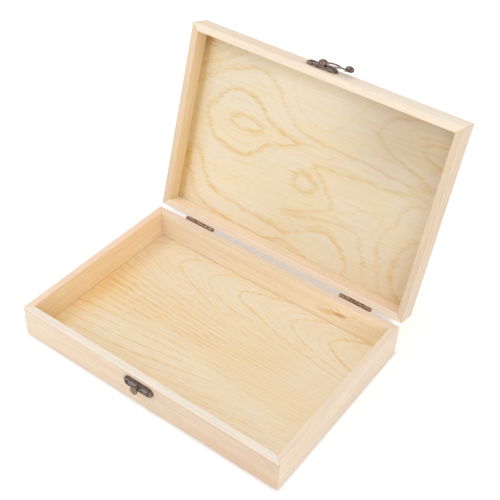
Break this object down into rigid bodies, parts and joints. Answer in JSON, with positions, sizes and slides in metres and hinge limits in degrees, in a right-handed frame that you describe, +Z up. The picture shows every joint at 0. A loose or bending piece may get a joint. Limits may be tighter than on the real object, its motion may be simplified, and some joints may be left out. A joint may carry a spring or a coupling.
{
  "type": "hinged wooden keepsake box",
  "caption": "Shallow mitred pine box with a plywood floor and lid panel, outside leaf hinges and a bronze hook latch, standing open.",
  "frame": {"origin": "middle of the base tray's underside, where the box stands", "axes": "+X along the box to the right of someone facing the latch, +Y from the front to the hinged back, +Z up"},
  "size_m": [0.25, 0.2416, 0.2012],
  "materials": {
    "pine": "unfinished, finely sanded",
    "plywood": "unfinished, finely sanded",
    "latch_bronze": "darkened, worn bright on its edges",
    "hinge_bronze": "darkened, satin",
    "nail_steel": "darkened"
  },
  "bodies": {
    "base": {"base_front_wall": "pine", "base_back_wall": "pine", "base_left_wall": "pine", "base_right_wall": "pine", "base_floor_panel": "plywood", "left_hinge_base_leaf": "hinge_bronze", "right_hinge_base_leaf": "hinge_bronze", "left_hinge_pin": "hinge_bronze", "right_hinge_pin": "hinge_bronze", "hinge_base_nails": "nail_steel", "keeper_plate": "latch_bronze", "keeper_post": "latch_bronze", "keeper_nails": "nail_steel"},
    "lid": {"lid_front_wall": "pine", "lid_back_wall": "pine", "lid_left_wall": "pine", "lid_right_wall": "pine", "lid_top_panel": "plywood", "left_hinge_lid_leaf": "hinge_bronze", "right_hinge_lid_leaf": "hinge_bronze", "hinge_lid_nails": "nail_steel", "latch_plate": "latch_bronze", "latch_rivet": "latch_bronze", "latch_nails": "nail_steel"},
    "latch_arm": {"latch_arm": "latch_bronze"}
  },
  "joints": [
    {"name": "lid_hinge", "type": "hinge", "parent": "base", "child": "lid", "pos_m": [0, 0.0867, 0.0306], "axis": [-1, 0, 0], "range_deg": [-105, 75]},
    {"name": "latch_pivot", "type": "hinge", "parent": "lid", "child": "latch_arm", "pos_m": [-0.0027, 0.13974, 0.19415], "axis": [0, 0.2588, 0.9659], "range_deg": [-87, 240]}
  ]
}
